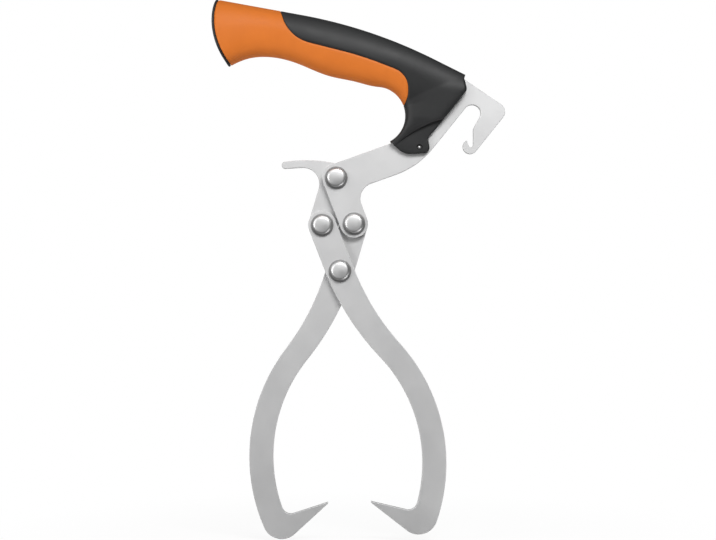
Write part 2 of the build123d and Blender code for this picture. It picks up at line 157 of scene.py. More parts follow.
# Collar under the neck
collar_half = 5.4
collar_tip = Vector((47.3, -62.6))
collar_tip_radius = 1.2
collar_belly = Vector((55.6, -70.7))
collar_belly_radius = 13.0
collar_lobe = Vector((73.2, -69.6))
collar_lobe_radius = 4.0
collar_notch = Vector((71.3, -60.2))
collar_notch_radius = 3.0
collar_edge_radius = 1.0
collar_inset = 1.4        # of its hidden side, behind the finger loop's surface
collar_side_angles = (12, 36)  # round the finger loop, of the corners on that side
crease_rise = 13.0        # of the crease's start, up the neck's front edge
crease_end = 3.5          # of its other end, from the collar's tip
crease_radius = 85.0
pin_x = 65.8
pin_z = -66.1
pin_recess_diameter = 4.0
pin_recess = 1.2
pin_diameter = 2.4
pin_end = 4.7             # from the middle plane to the top of the pin's round end
pin_crown = 0.6           # height of that end
pin_bright = 1.3          # diameter of its middle, inside a duller ring darkened with painted shade

# Soft sleeve
sleeve_start_x = -24.4
sleeve_start_z = 22.8
sleeve_start_slope = 71.0
sleeve_start_radius = 24.0
sleeve_line = Vector((12.2, -3.8))
sleeve_line_slope = 14.2
sleeve_blend_radius = 200.0
sleeve_fall = Vector((50.7, -16.3))
sleeve_fall_slope = 20.6
sleeve_front = Vector((58.2, -33.0))  # foot of its upright front edge
sleeve_front_radius = 13.0
sleeve_end = Vector((54.0, -42.5))
sleeve_seat = 1.2         # depth of the step in the core that the sleeve fills
sleeve_play = 0.15        # between the sleeve's inside and that step
sleeve_seam = 0.12        # gap on each side of the seam
seam_round = 1.5          # width of the rounding along the seam
seam_drop = 0.4           # depth of that rounding

# Round butt and its cap
butt_x = -68.1
butt_z = 16.0
butt_radius = 47.5
butt_middle_z = 8.5       # height on the butt where the rows of the cap meet
cap_thickness = 1.6
cap_round = 0.7
seat_radius = butt_radius - cap_thickness
rear_round = 0.08         # share of the butt's length over which the sleeve's rear edge rounds

# Rivets and washers: depths along Y and diameters
plate_front = -2.0
flange_diameter = 14.7
flange_height = 0.9
flange_round = 0.3
dome_diameter = 12.6
dome_round = 2.1          # radius of the dome's edge
dome_base = -3.5
dome_top = -5.9
dome_foot = 0.3           # of the hollow round the dome
smooth_edge_diameter = 9.2  # from which the dome's edge is smoother than its crown
painted_shade_ring_diameter = 12.2  # from which the rivet's colour is darkened as painted shade, and it is duller
washer_front = 6.3
washer_back = 7.5
washer_diameter = 15.0
washer_lip = 0.25
pivot_clearance = 0.06
tail_diameter = 11.6
tail_flat = 7.4           # diameter of the flat that the peening leaves
tail_edge = 0.6           # height of the tail's straight edge
tail_round = 0.25
tail_top = 9.3
shank_diameter = 8.0

# How far a plate's face leans to the front or back: less on its cut edges, more on its flats
cut_lean = 0.2
flat_lean = 0.95

# Looks: grain and mottle to the metre, dark and light colour, smooth and rough end of the
# roughness, gloss, strength of the bump and its depth
plate_look = dict(
    grain=2600.0, mottle=45.0, dark=(0.77, 0.77, 0.775), light=(0.81, 0.81, 0.81),
    smooth=0.50, rough=0.54, bump=0.25, depth=0.04)
rivet_look = dict(grain=1800.0, mottle=250.0, smooth=0.44, rough=0.52, bump=0.1, depth=0.03)
black_look = dict(
    grain=2200.0, mottle=70.0, dark=(0.012, 0.0123, 0.013), light=(0.017, 0.0175, 0.018),
    smooth=0.48, rough=0.56, gloss=0.36, bump=0.25, depth=0.06)
orange_look = dict(
    grain=1900.0, mottle=55.0, dark=(0.49, 0.117, 0.007), light=(0.565, 0.143, 0.010),
    smooth=0.48, rough=0.60, gloss=0.32, bump=0.3, depth=0.06)
# Broken edges get a darker colour as painted shade, to hold down the light that they catch
broken_edge_shade_colour = (0.64, 0.64, 0.64)
cut_edge_colour = (0.42, 0.42, 0.42)
plate_edge_roughness = 0.8
broken_edge_metal = 0.5   # share of bare metal on the broken edges
rivet_colour = (0.72, 0.72, 0.72)
# Darker colour of the rivet's rim and the pin's outer ring: painted shade for the shadow and dark
# reflection round them
rivet_rim_painted_shade = (0.33, 0.33, 0.33)
dome_edge_roughness = 0.42
flange_roughness = 0.75
grain_detail = 2.0
grain_roughness = 0.6
mottle_detail = 4.0
mottle_roughness = 0.65
mottle_low = 0.3          # level of the mottle at a look's smooth end
mottle_high = 0.7         # the same at its rough end
turned_start = 0.6        # share of turning away, where moulded pieces start to get duller
turned_full = 0.95        # the same, where they are fully dull

# Meshes: density, welding and sharp edges
row_step = 1.5            # between sections of the grip
fine_step = 0.35          # between those at the rear tip of the core's black top
fine_rows_behind = 2
fine_rows_ahead = 12
angle_step = 1.6          # between sections round the finger loop
nose_angle_step = 0.35    # between those at the nose
under_columns = 36        # of faces on each side, from the underside to the seam
crown_columns = 40        # the same from the seam to the top
round_steps = 5           # across a rounded edge
butt_rows = 8             # from the round butt to the first whole section
rear_rows = round_steps + butt_rows
cap_rows = 14             # from the cap's edge to its middle
nose_steps = 10           # points round each corner of the nose
seam_steps = 24           # the same on the sleeve's seam
collar_steps = 14         # the same on the collar
recess_segments = 40      # round the pin's recess
dome_steps = 10           # across the round edge of a rivet's dome
crown_steps = 6           # across its crown
turn_steps = 96           # round a rivet, washer or pin
weld = 0.002              # points closer than this are one
search_reach = 2 * nose_x  # further from the finger loop than any edge of the handle
sharp_angle = 35          # edges that turn by more stay sharp
core_sharp_angle = 50
cap_sharp_angle = 60
plate_sharp_angle = 25


def along(angle):
    """Step of one at an angle in degrees from +X up towards +Z."""
    return Vector((cos(radians(angle)), sin(radians(angle))))


def meet(point_a, step_a, point_b, step_b):
    """Where two lines cross, each a point and a step."""
    gap = point_b - point_a
    turn = step_a.x * step_b.y - step_a.y * step_b.x
    return point_a + step_a * ((gap.x * step_b.y - gap.y * step_b.x) / turn)


def blend(start, end, share):
    """Value at a share of the way from a start to an end."""
    return start + (end - start) * share


def soft_least(first, second, width):
    """The lesser of two lengths, with a smooth change from one to the other."""
    return (first + second - sqrt((first - second) ** 2 + width ** 2)) / 2


def eased(share):
    """Share that starts and ends gently."""
    return share ** 2 * (3 - 2 * share)


def rounded_path(corners, steps):
    """Points along a line through corners, each a point and its radius, with some to each round."""
    points = []
    for count, (corner, radius) in enumerate(corners):
        if radius == 0:
            points.append(corner.copy())
            continue
        before = (corners[count - 1][0] - corner).normalized()
        after = (corners[(count + 1) % len(corners)][0] - corner).normalized()
        turn = pi - before.angle(after)
        reach = radius * tan(turn / 2)
        # With its handles this share of the reach short of the corner, the curve follows the arc
        pull = 1 - 4 / 3 * tan(turn / 4) / tan(turn / 2)
        start = corner + before * reach
        end = corner + after * reach
        points += interpolate_bezier(
            start, corner + before * reach * pull, corner + after * reach * pull, end, steps)
    return points


def spline_through(places, heights, end_slope):
    """Smooth curve through heights at places, free at its start and with a set slope at its end."""
    count = len(places)
    gaps = numpy.diff(places)
    rises = numpy.diff(heights) / gaps
    rows = numpy.zeros((count, count))
    right = numpy.zeros(count)
    rows[0, 0] = 1
    for i in range(1, count - 1):
        rows[i, i - 1:i + 2] = gaps[i - 1], 2 * (gaps[i - 1] + gaps[i]), gaps[i]
        right[i] = 6 * (rises[i] - rises[i - 1])
    rows[-1, -2:] = gaps[-1], 2 * gaps[-1]
    right[-1] = 6 * (end_slope - rises[-1])
    bends = numpy.linalg.solve(rows, right)

    def height(x):
        i = int(numpy.clip(numpy.searchsorted(places, x) - 1, 0, count - 2))
        after = (x - places[i]) / gaps[i]
        before = 1 - after
        bow = (before ** 3 - before) * bends[i] + (after ** 3 - after) * bends[i + 1]
        return before * heights[i] + after * heights[i + 1] + bow * gaps[i] ** 2 / 6

    return height


# Lines and curves of the handle's side view
upright = Vector((0, 1))
neck_up = along(neck_edge_rise)
neck_out = Vector((neck_up.y, -neck_up.x))
loop_middle = Vector((loop_x, loop_z))
nose_low = meet(neck_foot, neck_up, Vector((bulge_x, 0)), upright)
crease_start = neck_foot + neck_up * crease_rise
crease_stop = collar_tip + (collar_belly - collar_tip).normalized() * crease_end
crease_chord = crease_stop - crease_start
crease_sag = sqrt(crease_radius ** 2 - (crease_chord.length / 2) ** 2)
crease_lower = Vector((-crease_chord.y, crease_chord.x)).normalized()
crease_middle = (crease_start + crease_stop) / 2 + crease_lower * crease_sag


def loop_z_at(x):
    """Height of the finger loop's upper side."""
    return loop_z + sqrt(loop_radius ** 2 - (x - loop_x) ** 2)


grip_places, grip_unders, grip_halves = zip(*grip_sections)
join_places = (loop_x, (loop_x + loop_join_x) / 2, loop_join_x)
join_heights = [loop_z_at(x) for x in join_places]
join_slope = -(loop_join_x - loop_x) / (loop_z_at(loop_join_x) - loop_z)
under_edge = spline_through([*grip_places, *join_places], [*grip_unders, *join_heights], join_slope)
neck_slope = (neck_half - loop_half) / (nose_x - loop_x)
half_at = spline_through([*grip_places, loop_x], [*grip_halves, loop_half], neck_slope)


def top_edge(x):
    """Height of the handle's top edge."""
    rear_angle = radians(rear_slope)
    rear = tan(rear_angle)
    front = tan(radians(front_slope))
    corner_x = (nose_z + nose_x * front - top_height) / (front - rear)
    corner_z = top_height - corner_x * rear
    tangent = top_blend_radius * tan(radians(front_slope - rear_slope) / 2)
    blend_start = corner_x - tangent * cos(rear_angle)
    blend_end = corner_x + tangent * cos(radians(front_slope))
    if x <= blend_start:
        return top_height - x * rear
    if x >= blend_end:
        return corner_z - (x - corner_x) * front
    middle_x = blend_start - top_blend_radius * sin(rear_angle)
    middle_z = corner_z + tangent * sin(rear_angle) - top_blend_radius * cos(rear_angle)
    return middle_z + sqrt(top_blend_radius ** 2 - (x - middle_x) ** 2)


class Station:
    """Cut across the handle between its inner and outer edge in the side view.

    half is half its thickness, and the powers say how square its section is towards each edge.
    spare is how far the section would run on past the outer edge, edge the radius of that edge,
    and seam the share of the way out at which the cut leaves the soft sleeve.
    """

    def __init__(self, inner, outer, half, inner_power, outer_power, spare=0.0, edge=0.0):
        self.inner = inner
        self.length = (outer - inner).length
        self.step = (outer - inner) / self.length
        self.half = half
        self.inner_power = inner_power
        self.outer_power = outer_power
        self.spare = spare
        self.edge = edge
        self.seam = 1.0

    def point(self, share, side, inset=0.0):
        """Point of the surface at a share of the way to the outer edge, sunk by an inset."""
        span = self.length + self.spare
        reach = 2 * share * self.length / span - 1
        power = self.outer_power if reach > 0 else self.inner_power
        depth = self.half * max(0.0, 1 - abs(reach) ** power) ** (1 / power)
        rest = max(0.0, self.length * (1 - share))
        if rest < self.edge:
            depth -= self.edge * (1 - sqrt(1 - (1 - rest / self.edge) ** 2))
        depth = max(0.0, depth) * (1 - inset / self.half)
        place = self.inner + self.step * (span / 2 + reach * (span / 2 - inset))
        return Vector((place.x, side * depth, place.y))


def grip_station(x):
    """Upright cut across the grip."""
    inner = Vector((x, under_edge(x)))
    outer = Vector((x, top_edge(x)))
    return Station(inner, outer, half_at(x), grip_power, crown_power)


def ray_to_line(step, point, line_step):
    """Distance from the loop's middle along a step to a line."""
    return (meet(loop_middle, step, point, line_step) - loop_middle).length


def ray_to_top(step):
    """Distance from the loop's middle along a step to the top edge."""
    near, far = loop_radius, search_reach
    while far - near > weld:
        reach = (near + far) / 2
        place = loop_middle + step * reach
        if place.y < top_edge(place.x):
            near = reach
        else:
            far = reach
    return near


def ray_to_crease(step):
    """Distance from the loop's middle along a step to the crease over the collar."""
    gap = crease_middle - loop_middle
    ahead = gap.dot(step)
    across = gap.length_squared - ahead ** 2
    return ahead - sqrt(crease_radius ** 2 - across)


lip = Vector((lip_x, top_edge(lip_x)))
front_edge = rounded_path([
    (lip, 0),
    (nose_hollow, hollow_radius),
    (Vector((bulge_x, bulge_z)), hollow_radius),
    (nose_low, nose_corner_radius),
    (crease_start, 0),
], nose_steps)


def ray_to_front(step):
    """Distance from the loop's middle along a step to the nose and the neck's front edge."""
    across = Vector((-step.y, step.x))
    for first, last in zip(front_edge, front_edge[1:]):
        a = (first - loop_middle).dot(across)
        b = (last - loop_middle).dot(across)
        if a >= -weld and b <= weld and a != b:
            return (first.lerp(last, a / (a - b)) - loop_middle).dot(step)
    return (crease_start - loop_middle).dot(step)


def angle_to(place):
    """Angle in radians from the loop's middle to a place."""
    gap = place - loop_middle
    return atan2(gap.y, gap.x)


nose_angle = angle_to(lip)
nose_low_angle = angle_to(nose_low)
crease_start_angle = angle_to(crease_start)
crease_stop_angle = angle_to(crease_stop)
toe_angle = angle_to(collar_tip)


def loop_station(angle, inner):
    """Cut that runs out from the finger loop at an angle in radians."""
    step = Vector((cos(angle), sin(angle)))
    beyond = ray_to_line(step, neck_foot + neck_out * neck_excess, neck_up)
    if angle >= nose_angle:
        reach = ray_to_top(step)
        share = min(1.0, step.x * reach / (nose_x - loop_x))
        return Station(
            inner, loop_middle + step * reach, blend(loop_half, neck_half, share),
            blend(grip_power, neck_power, share), crown_power)
    half, edge, power = neck_half, neck_edge_radius, neck_power
    if angle >= nose_low_angle:
        part = (nose_angle - angle) / (nose_angle - nose_low_angle)
        share = eased(part)
        reach = ray_to_front(step)
        beyond = max(reach, soft_least(beyond, ray_to_top(step), nose_blend * part * (1 - part)))
        power = blend(crown_power, neck_power, share)
        edge = blend(nose_edge_radius, neck_edge_radius, share)
    elif angle >= crease_start_angle:
        reach = ray_to_front(step)
    else:
        share = min(1.0, (crease_start_angle - angle) / (crease_start_angle - crease_stop_angle))
        half = blend(neck_half, toe_half, share)
        edge = blend(crease_edge_radius, crease_fade, share)
        if angle >= crease_stop_angle:
            reach = ray_to_crease(step)
        else:
            reach = ray_to_line(step, collar_tip, collar_belly - collar_tip)
        beyond = reach + blend(beyond - reach, neck_excess, min(1.0, crease_pace * share))
    return Station(
        inner, loop_middle + step * reach, half, neck_power, power, beyond - reach, edge)


def sleeve_seam_line():
    """Upper and front edge of the soft sleeve in the side view."""
    start = Vector((sleeve_start_x, sleeve_start_z))
    start_step = along(-sleeve_start_slope)
    line_step = along(-sleeve_line_slope)
    fall_step = along(-sleeve_fall_slope)
    return rounded_path([
        (start - start_step * butt_radius, 0),
        (meet(start, start_step, sleeve_line, line_step), sleeve_start_radius),
        (meet(sleeve_line, line_step, sleeve_fall, fall_step), sleeve_blend_radius),
        (meet(sleeve_front, upright, sleeve_fall, fall_step), sleeve_front_radius),
        (sleeve_front, sleeve_front_radius),
        (sleeve_end, 0),
    ], seam_steps)


def seam_share(station, seam):
    """Share of the way along a cut at which it leaves the sleeve."""
    across = Vector((-station.step.y, station.step.x))
    best = None
    for first, last in zip(seam, seam[1:]):
        a = (first - station.inner).dot(across)
        b = (last - station.inner).dot(across)
        if a * b <= 0 and a != b:
            place = first.lerp(last, a / (a - b))
            share = (place - station.inner).dot(station.step) / station.length
            if share > 0 and (best is None or share < best):
                best = share
    return best


def grip_cuts():
    """Places along X of the cuts across the grip."""
    fine_start = sleeve_start_x - fine_rows_behind * fine_step
    fine_end = sleeve_start_x + fine_rows_ahead * fine_step
    places = set(numpy.arange(grip_rear_x, loop_x - row_step / 2, row_step).tolist())
    return sorted(places | set(numpy.arange(fine_start, fine_end, fine_step).tolist()))


def loop_fan():
    """Angle and inner point of each cut round the finger loop, down to the tip of the collar."""
    fan = []
    join_steps = round((loop_join_x - loop_x) / row_step)
    for count in range(join_steps):
        x = blend(loop_x, loop_join_x, count / join_steps)
        inner = Vector((x, under_edge(x)))
        fan.append((angle_to(inner), inner))
    join_angle = angle_to(Vector((loop_join_x, loop_z_at(loop_join_x))))
    marks = [join_angle, nose_angle, nose_low_angle, crease_start_angle, crease_stop_angle, toe_angle]
    for first, last in zip(marks, marks[1:]):
        pace = nose_angle_step if first == nose_angle else angle_step
        steps = max(2, round((first - last) / radians(pace)))
        for count in range(steps):
            angle = blend(first, last, count / steps)
            fan.append((angle, loop_middle + Vector((cos(angle), sin(angle))) * loop_radius))
    fan.append((toe_angle, loop_middle + (collar_tip - loop_middle).normalized() * loop_radius))
    return fan


def handle_stations():
    """Cuts from the butt to the tip of the collar."""
    seam = sleeve_seam_line()
    stations = []
    for x in grip_cuts():
        station = grip_station(x)
        share = seam_share(station, seam) if x > sleeve_start_x else None
        station.seam = 1.0 if share is None else min(1.0, share)
        stations.append(station)
    for angle, inner in loop_fan():
        station = loop_station(angle, inner)
        share = seam_share(station, seam)
        station.seam = 0.0 if share is None else min(1.0, share)
        stations.append(station)
    return stations


def spread(count, total):
    """Share from 0 to 1 that crowds towards the start."""
    return 1 - cos(pi / 2 * count / total)


def spread_both(count, total):
    """Share from 0 to 1 that crowds towards both ends."""
    return (1 - cos(pi * count / total)) / 2


def butt_x_at(share, side, radius, inset):
    """Place along X where a line of the grip's surface meets the drum that rounds the butt."""
    near, far = grip_places[0], grip_rear_x
    while far - near > weld:
        x = (near + far) / 2
        rise = grip_station(x).point(share, side, inset).z - butt_z
        if (butt_x + butt_radius - x) ** 2 + rise ** 2 > radius ** 2:
            near = x
        else:
            far = x
    return near


def butt_point(share, side, radius, forward, inset=0.0):
    """Point of the grip between the round butt and the first whole section."""
    x = blend(butt_x_at(share, side, radius, inset), grip_rear_x, forward)
    return grip_station(x).point(share, side, inset)


def weld_points(mesh):
    """Joins the points of a mesh that lie together, and drops what has no size then."""
    bmesh.ops.remove_doubles(mesh, verts=mesh.verts[:], dist=weld * MM)
    bmesh.ops.dissolve_degenerate(mesh, edges=mesh.edges[:], dist=weld * MM)


def face_outwards(mesh):
    """Turns the faces of a mesh outwards."""
    bmesh.ops.recalc_face_normals(mesh, faces=mesh.faces[:])


def sheet(rows, columns, place):
    """Grid of faces whose points go where place(row, column) says."""
    half = 0.5
    mesh = bmesh.new()
    bmesh.ops.create_grid(mesh, x_segments=rows, y_segments=columns, size=half)
    for vert in mesh.verts:
        row = round((vert.co.x + half) * rows)
        column = round((vert.co.y + half) * columns)
        vert.co = place(row, column) * MM
    weld_points(mesh)
    return mesh


def closed(mesh):
    """Mesh with its open rims filled and its faces turned outwards."""
    bmesh.ops.holes_fill(mesh, edges=[edge for edge in mesh.edges if edge.is_boundary], sides=0)
    face_outwards(mesh)
    return mesh


def shade(mesh, sharp):
    """Smooth faces that break only at edges sharper than an angle."""
    for face in mesh.faces:
        face.smooth = True
    for edge in mesh.edges:
        edge.smooth = not edge.is_manifold or edge.calc_face_angle() < radians(sharp)


def in_scene(name, data):
    """New object in the scene from its data."""
    thing = bpy.data.objects.new(name, data)
    bpy.context.scene.collection.objects.link(thing)
    return thing


def mesh_in_scene(name, mesh, material):
    """New object in the scene from a mesh, which is used up, and its material."""
    data = bpy.data.meshes.new(name)
    mesh.to_mesh(data)
    mesh.free()
    data.materials.append(material)
    return in_scene(name, data)


def piece(name, mesh, material, body, nodes, sharp=sharp_angle):
    """Finished object from a mesh: rides on a body and stands for CAD nodes."""
    shade(mesh, sharp)
    thing = mesh_in_scene(name, mesh, material)
    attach(thing, body)
    if nodes:
        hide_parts(*nodes)
    return thing


def sleeve_mesh(stations):
    """Soft sleeve: from the seam down round the underside and up to the seam again."""
    covered = [station for station in stations if station.seam > 0]

    def place(row, column):
        side = -1 if column < under_columns else 1
        share = spread_both(abs(column - under_columns), under_columns)
        if row < round_steps:
            part = row / round_steps
            drop = seam_drop * (1 - part) ** 2
            return butt_point(share, side, seat_radius - sleeve_seam, rear_round * part, drop)
        if row < rear_rows:
            part = (row - round_steps) / butt_rows
            return butt_point(share, side, seat_radius - sleeve_seam, blend(rear_round, 1, part))
        station = covered[row - rear_rows]
        if station.seam >= 1:
            return station.point(share, side)
        end = max(0.0, station.seam - sleeve_seam / station.length)
        rest = end * station.length * (1 - share)
        drop = seam_drop * max(0.0, 1 - rest / seam_round) ** 2
        return station.point(end * share, side, drop)

    mesh = sheet(rear_rows + len(covered) - 1, 2 * under_columns, place)
    face_outwards(mesh)
    lowest = min(mesh.faces, key=lambda face: face.calc_center_median().z)
    if lowest.normal.z > 0:
        bmesh.ops.reverse_faces(mesh, faces=mesh.faces[:])
    return mesh


def core_mesh(stations):
    """Hard core: sunk under the sleeve, and the surface of the handle above it and on the neck."""
    columns = under_columns + crown_columns + 1

    def place(row, column):
        side = -1 if column <= columns else 1
        step = column if side < 0 else 2 * columns + 1 - column
        if row < butt_rows:
            share = spread(min(step, under_columns), under_columns)
            return butt_point(share, side, seat_radius - sleeve_seat, row / butt_rows, sleeve_seat)
        station = stations[row - butt_rows]
        if step <= under_columns:
            sink = sleeve_seat * min(1.0, station.seam * station.length / sleeve_seat)
            return station.point(station.seam * spread(step, under_columns), side, sink)
        if station.seam >= 1:
            return station.point(1.0, side, sleeve_seat)
        start = station.seam
        if start > 0:
            start = min(1.0, start + sleeve_seam / station.length)
        share = 1 - spread_both(columns - step, crown_columns)
        rest = share * (1 - start) * station.length
        drop = seam_drop * max(0.0, 1 - rest / seam_round) ** 2 if start > 0 else 0.0
        return station.point(start + (1 - start) * share, side, drop)

    return closed(sheet(butt_rows + len(stations) - 1, 2 * columns + 1, place))


def cap_mesh():
    """Thin cap over the butt: its edge shows as a line."""
    turn = 2 * under_columns
    rim = [
        (seat_radius - sleeve_seat, sleeve_seat), (seat_radius + sleeve_seam, sleeve_seat),
        (seat_radius + sleeve_seam, seam_drop), (seat_radius + sleeve_seam + seam_drop, 0.0)]
    for count in range(round_steps + 1):
        tip = pi / 2 * count / round_steps
        rim.append((butt_radius - cap_round * (1 - sin(tip)), cap_round * (1 - cos(tip))))

    def place(row, column):
        side = -1 if column <= under_columns else 1
        step = column if side < 0 else turn - column
        share = spread_both(step, under_columns)
        radius, inset = rim[min(row, len(rim) - 1)]
        edge = butt_point(share, side, radius, 0.0, inset)
        if row < len(rim):
            return edge
        left = 1 - (row - len(rim) + 1) / cap_rows
        z = blend(butt_middle_z, edge.z, left)
        x = butt_x + butt_radius - sqrt(butt_radius ** 2 - (z - butt_z) ** 2)
        return Vector((x, edge.y * left, z))

    return closed(sheet(len(rim) + cap_rows - 1, turn, place))


def plate_from(points, y_front, y_back):
    """Flat solid between two depths from points in the side view."""
    mesh = bmesh.new()
    outline = [mesh.verts.new((point.x * MM, y_front * MM, point.y * MM)) for point in points]
    face = mesh.faces.new(outline)
    grown = bmesh.ops.extrude_face_region(mesh, geom=[face])
    moved = [item for item in grown["geom"] if isinstance(item, bmesh.types.BMVert)]
    bmesh.ops.translate(mesh, verts=moved, vec=(0, (y_back - y_front) * MM, 0))
    face_outwards(mesh)
    return mesh


def sink_pin_recess(mesh, face_y):
    """Round recess for the pin in one flat face of the collar."""
    flat = max(
        (face for face in mesh.faces if abs(face.calc_center_median().y - face_y * MM) < weld * MM),
        key=lambda face: face.calc_area())
    outline = flat.edges[:]
    bmesh.ops.delete(mesh, geom=[flat], context="FACES_ONLY")
    middle = Matrix.Translation((pin_x * MM, face_y * MM, pin_z * MM))
    ring = bmesh.ops.create_circle(
        mesh, segments=recess_segments, radius=pin_recess_diameter / 2 * MM,
        matrix=middle @ Matrix.Rotation(pi / 2, 4, "X"))
    rim = list({edge for vert in ring["verts"] for edge in vert.link_edges})
    bmesh.ops.triangle_fill(mesh, edges=outline + rim, use_beauty=True)
    walls = bmesh.ops.extrude_edge_only(mesh, edges=rim)["geom"]
    sunk = [item for item in walls if isinstance(item, bmesh.types.BMVert)]
    floor = [item for item in walls if isinstance(item, bmesh.types.BMEdge) and item.is_boundary]
    depth = pin_recess if face_y < 0 else -pin_recess
    bmesh.ops.translate(mesh, verts=sunk, vec=(0, depth * MM, 0))
    bmesh.ops.holes_fill(mesh, edges=floor, sides=0)


def collar_mesh():
    """Flat collar that closes the neck on the arm of the plate."""
    side = loop_radius + collar_inset
    loop_side = [loop_middle + along(-angle) * side for angle in collar_side_angles]
    points = rounded_path([
        (collar_tip, collar_tip_radius),
        (loop_side[1], 0),
        (loop_side[0], 0),
        (crease_start, 0),
        (collar_notch, collar_notch_radius),
        (collar_lobe, collar_lobe_radius),
        (collar_belly, collar_belly_radius),
    ], collar_steps)
    mesh = plate_from(points, -collar_half, collar_half)
    rims = [edge for edge in mesh.edges if abs(edge.verts[0].co.y - edge.verts[1].co.y) < weld * MM]
    bmesh.ops.bevel(
        mesh, geom=rims, offset=collar_edge_radius * MM, affect="EDGES",
        segments=round_steps, profile=0.5, material=-1)
    for face_y in (-collar_half, collar_half):
        sink_pin_recess(mesh, face_y)
    face_outwards(mesh)
    return mesh


def turned(profile, pivot):
    """Round piece about a pivot's axis from a profile of radius and depth."""
    mesh = bmesh.new()
    verts = [mesh.verts.new(((pivot.x + radius) * MM, y * MM, pivot.y * MM)) for radius, y in profile]
    edges = [mesh.edges.new(pair) for pair in zip(verts, verts[1:])]
    bmesh.ops.spin(
        mesh, geom=verts + edges, cent=(pivot.x * MM, 0, pivot.y * MM), axis=(0, 1, 0),
        angle=2 * pi, steps=turn_steps, use_merge=True)
    weld_points(mesh)
    face_outwards(mesh)
    return mesh


def dome_profile():
    """Points of a rivet's dome from its rim to the axis: a round edge, then a shallow crown."""
    rim = dome_diameter / 2 - dome_round
    height = dome_base - dome_top
    crown_radius = (rim ** 2 + height ** 2 - dome_round ** 2) / (2 * (height - dome_round))
    lean = asin(rim / (crown_radius - dome_round))
    points = []
    for count in range(dome_steps):
        turn = blend(pi / 2, lean, count / dome_steps)
        points.append((rim + dome_round * sin(turn), dome_base - dome_round * cos(turn)))
    for count in range(crown_steps + 1):
        turn = lean * (1 - count / crown_steps)
        points.append((crown_radius * sin(turn), dome_top + crown_radius * (1 - cos(turn))))
    return points


def pin_mesh():
    """Pin with two round ends."""
    half = pin_diameter / 2
    radius = (half ** 2 + pin_crown ** 2) / (2 * pin_crown)
    lean = asin(half / radius)
    crown = []
    for count in range(crown_steps + 1):
        turn = lean * count / crown_steps
        crown.append((radius * sin(turn), pin_end - radius * (1 - cos(turn))))
    front = [(across, -y) for across, y in crown]
    return turned(front + crown[::-1], Vector((pin_x, pin_z)))


def rivet_mesh(pivot):
    """Rivet's head: a flange with a dome on it."""
    flange = flange_diameter / 2
    flange_top = plate_front - flange_height
    corner = flange_round / 3  # from the flange's corner to the middle of its rounding
    dome = dome_diameter / 2
    profile = [
        (0, plate_front), (flange, plate_front), (flange, flange_top + flange_round),
        (flange - corner, flange_top + corner), (flange - flange_round, flange_top),
        (dome + dome_foot, dome_base + dome_foot),
    ]
    return turned(profile + dome_profile(), pivot)


def rivet_tail_mesh(pivot):
    """Rivet's shank and the tail that is peened on the washer."""
    tail = tail_diameter / 2
    flat = tail_flat / 2
    shank = shank_diameter / 2
    shoulder = washer_back + tail_edge
    profile = [
        (0, plate_front), (shank, plate_front), (shank, washer_back), (tail - tail_round, washer_back),
        (tail, washer_back + tail_round), (tail, shoulder - tail_round),
        (tail - tail_round, shoulder + tail_round), (flat + tail_round, tail_top - tail_round / 2),
        (flat - tail_round, tail_top), (0, tail_top)]
    return turned(profile, pivot)


def washer_mesh(pivot):
    """Washer with its bore and broken edges."""
    outer = washer_diameter / 2
    inner = shank_diameter / 2 + pivot_clearance
    profile = [
        (inner, washer_front), (outer - washer_lip, washer_front), (outer, washer_front + washer_lip),
        (outer, washer_back - washer_lip), (outer - washer_lip, washer_back), (inner, washer_back),
        (inner, washer_front)]
    return turned(profile, pivot)


def smooth_copy(node, material, body):
    """Copy of a CAD plate whose rounds shade smoothly, with its broken and cut edges marked."""
    mesh = bmesh.new()
    mesh.from_mesh(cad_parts[node].data)
    bmesh.ops.remove_doubles(mesh, verts=mesh.verts[:], dist=weld * MM)
    broken = mesh.faces.layers.float.new("broken_edge")
    cut = mesh.faces.layers.float.new("cut_edge")
    for face in mesh.faces:
        lean = abs(face.normal.y)
        face[broken] = 1.0 if cut_lean < lean < flat_lean else 0.0
        face[cut] = 1.0 if lean <= cut_lean else 0.0
    return piece(node + "_steel", mesh, material, body, [node], plate_sharp_angle)


def add(tree, kind, **values):
    """Node with its settings and unlinked inputs set by name."""
    node = tree.nodes.new(kind)
    for name, value in values.items():
        if hasattr(node, name):
            setattr(node, name, value)
        else:
            node.inputs[name.replace("_", " ")].default_value = value
    return node


def feed(tree, value, socket):
    """Gives a socket another socket's value, or a colour or number of its own."""
    if isinstance(value, bpy.types.NodeSocket):
        tree.links.new(value, socket)
    elif isinstance(value, tuple):
        socket.default_value = (*value, 1)
    else:
        socket.default_value = value


def ramp(tree, value, start, end, low, high, kind="SMOOTHSTEP"):
    """Value that runs from low at a start to high at an end."""
    node = add(tree, "ShaderNodeMapRange", interpolation_type=kind, From_Min=start, From_Max=end)
    tree.links.new(value, node.inputs["Value"])
    feed(tree, low, node.inputs["To Min"])
    feed(tree, high, node.inputs["To Max"])
    return node.outputs["Result"]


def by_mask(tree, mask, plain, marked):
    """Value that goes from a plain one to another where a mask is set."""
    return ramp(tree, mask, 0.0, 1.0, plain, marked, "LINEAR")


def colour_mix(tree, factor, first, second):
    """Colour that goes from a first to a second by a factor."""
    node = add(tree, "ShaderNodeMix", data_type="RGBA")
    colours = [socket for socket in node.inputs if socket.type == "RGBA"]
    tree.links.new(factor, node.inputs["Factor"])
    feed(tree, first, colours[0])
    feed(tree, second, colours[1])
    return [socket for socket in node.outputs if socket.type == "RGBA"][0]


def combined(tree, operation, first, second):
    """Result of an operation on two values."""
    node = add(tree, "ShaderNodeMath", operation=operation)
    tree.links.new(first, node.inputs[0])
    tree.links.new(second, node.inputs[1])
    return node.outputs["Value"]


def measured(tree, operation, place, other):
    """Distance of a place from a fixed one, or its length along a fixed step."""
    node = add(tree, "ShaderNodeVectorMath", operation=operation)
    tree.links.new(place, node.inputs[0])
    node.inputs[1].default_value = other
    return node.outputs["Value"]


